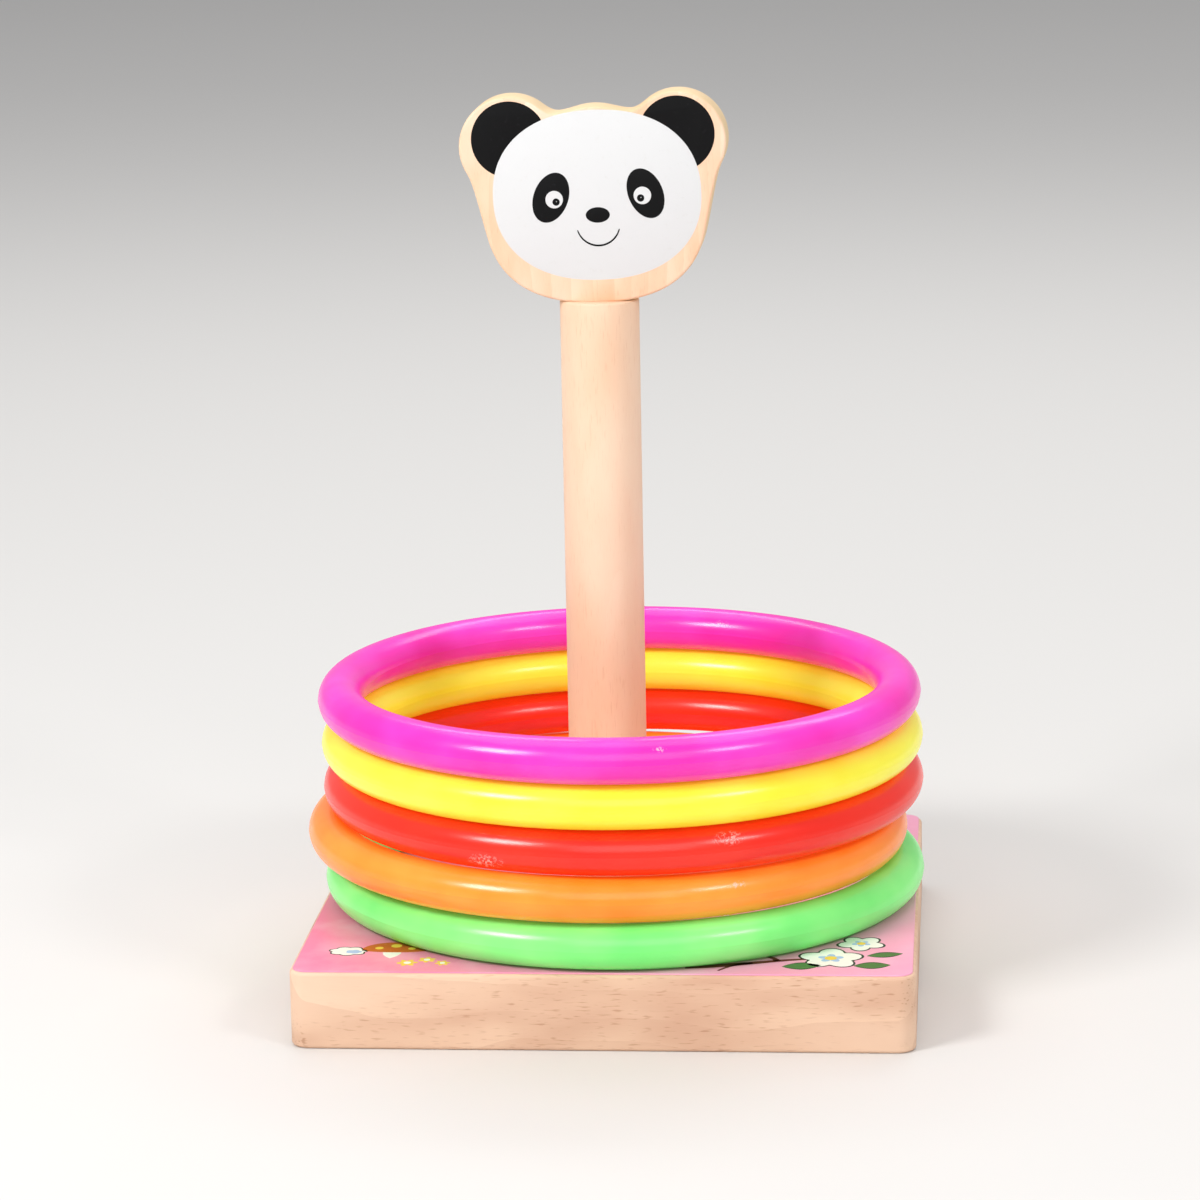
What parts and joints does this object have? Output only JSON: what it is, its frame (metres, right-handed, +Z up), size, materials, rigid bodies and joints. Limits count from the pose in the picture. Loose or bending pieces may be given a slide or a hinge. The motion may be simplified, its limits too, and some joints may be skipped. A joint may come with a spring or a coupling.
{
  "type": "ring toss set",
  "caption": "Wooden board with a round post, a flat panda head on top and hollow plastic rings stacked loosely round the post.",
  "frame": {"origin": "on the ground, under the middle of the footprint of the whole set with its rings on", "axes": "+Z up along the post, -Y the way the panda's face looks, +X to the right seen from the front"},
  "size_m": [0.1558, 0.1532, 0.2217],
  "materials": {
    "board_wood": "sanded pale wood",
    "post_wood": "sanded pale wood",
    "pin_wood": "raw wood",
    "screw_steel": "zinc plated",
    "pink_sheet": "printed and varnished",
    "white_print": "satin print",
    "black_print": "satin print",
    "green_plastic": "glossy",
    "orange_plastic": "glossy",
    "red_plastic": "glossy",
    "yellow_plastic": "glossy",
    "magenta_plastic": "glossy"
  },
  "bodies": {
    "stand": {"base_block": "board_wood", "base_top_print": "pink_sheet", "post": "post_wood", "post_screw": "screw_steel", "head_dowel_pin": "pin_wood", "head_plaque": "board_wood", "face_print": "white_print", "ear_print_left": "black_print", "ear_print_right": "black_print", "eye_patch_left": "black_print", "eye_patch_right": "black_print", "nose_print": "black_print", "smile_print": "black_print"},
    "ring_green": {"ring_green": "green_plastic"},
    "ring_orange": {"ring_orange": "orange_plastic"},
    "ring_red": {"ring_red": "red_plastic"},
    "ring_yellow": {"ring_yellow": "yellow_plastic"},
    "ring_magenta": {"ring_magenta": "magenta_plastic"}
  },
  "joints": [
    {"name": "lift_green_ring", "type": "slide", "parent": "stand", "child": "ring_green", "axis": [0, 0, 1], "range_m": [0, 0.205]},
    {"name": "lift_orange_ring", "type": "slide", "parent": "ring_green", "child": "ring_orange", "axis": [0, 0, 1], "range_m": [0, 0.194]},
    {"name": "lift_red_ring", "type": "slide", "parent": "ring_orange", "child": "ring_red", "axis": [0, 0, 1], "range_m": [0, 0.183]},
    {"name": "lift_yellow_ring", "type": "slide", "parent": "ring_red", "child": "ring_yellow", "axis": [0, 0, 1], "range_m": [0, 0.172]},
    {"name": "lift_magenta_ring", "type": "slide", "parent": "ring_yellow", "child": "ring_magenta", "axis": [0, 0, 1], "range_m": [0, 0.161]}
  ]
}
